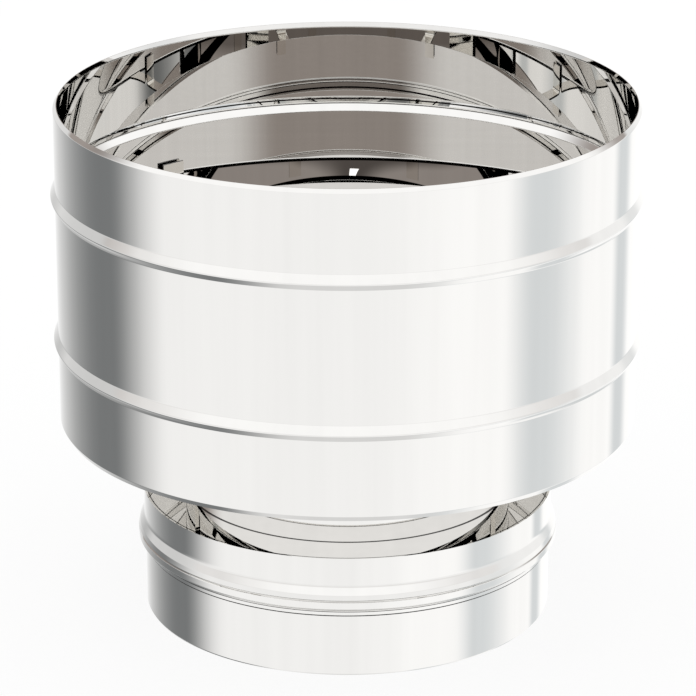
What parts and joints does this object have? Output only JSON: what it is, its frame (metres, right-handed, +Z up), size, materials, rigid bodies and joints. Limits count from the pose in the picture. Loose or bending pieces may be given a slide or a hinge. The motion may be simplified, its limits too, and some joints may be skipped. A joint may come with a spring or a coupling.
{
  "type": "chimney cap",
  "caption": "Open polished steel drum with swaged beads round a flue pipe, a flat rain disc held inside on straps, and a round spigot collar below that plugs onto a twin-wall chimney.",
  "frame": {"origin": "on the vertical axis, in the plane of the spigot's lower edge", "axes": "+Z up along the flue axis; the picture's camera stands towards -Y, +X is to its right"},
  "size_m": [0.3576, 0.3576, 0.32],
  "materials": {
    "polished_steel": "mirror-polished stainless steel sheet",
    "strap_steel": "plain stainless steel strip"
  },
  "bodies": {
    "root": {"drum_shell": "polished_steel", "collar_sleeve": "polished_steel", "spigot_pipe": "polished_steel", "flue_pipe": "polished_steel", "ring_plate": "polished_steel", "rain_disc": "polished_steel", "strap_1": "strap_steel", "strap_2": "strap_steel", "strap_3": "strap_steel", "strap_4": "strap_steel"}
  },
  "joints": []
}
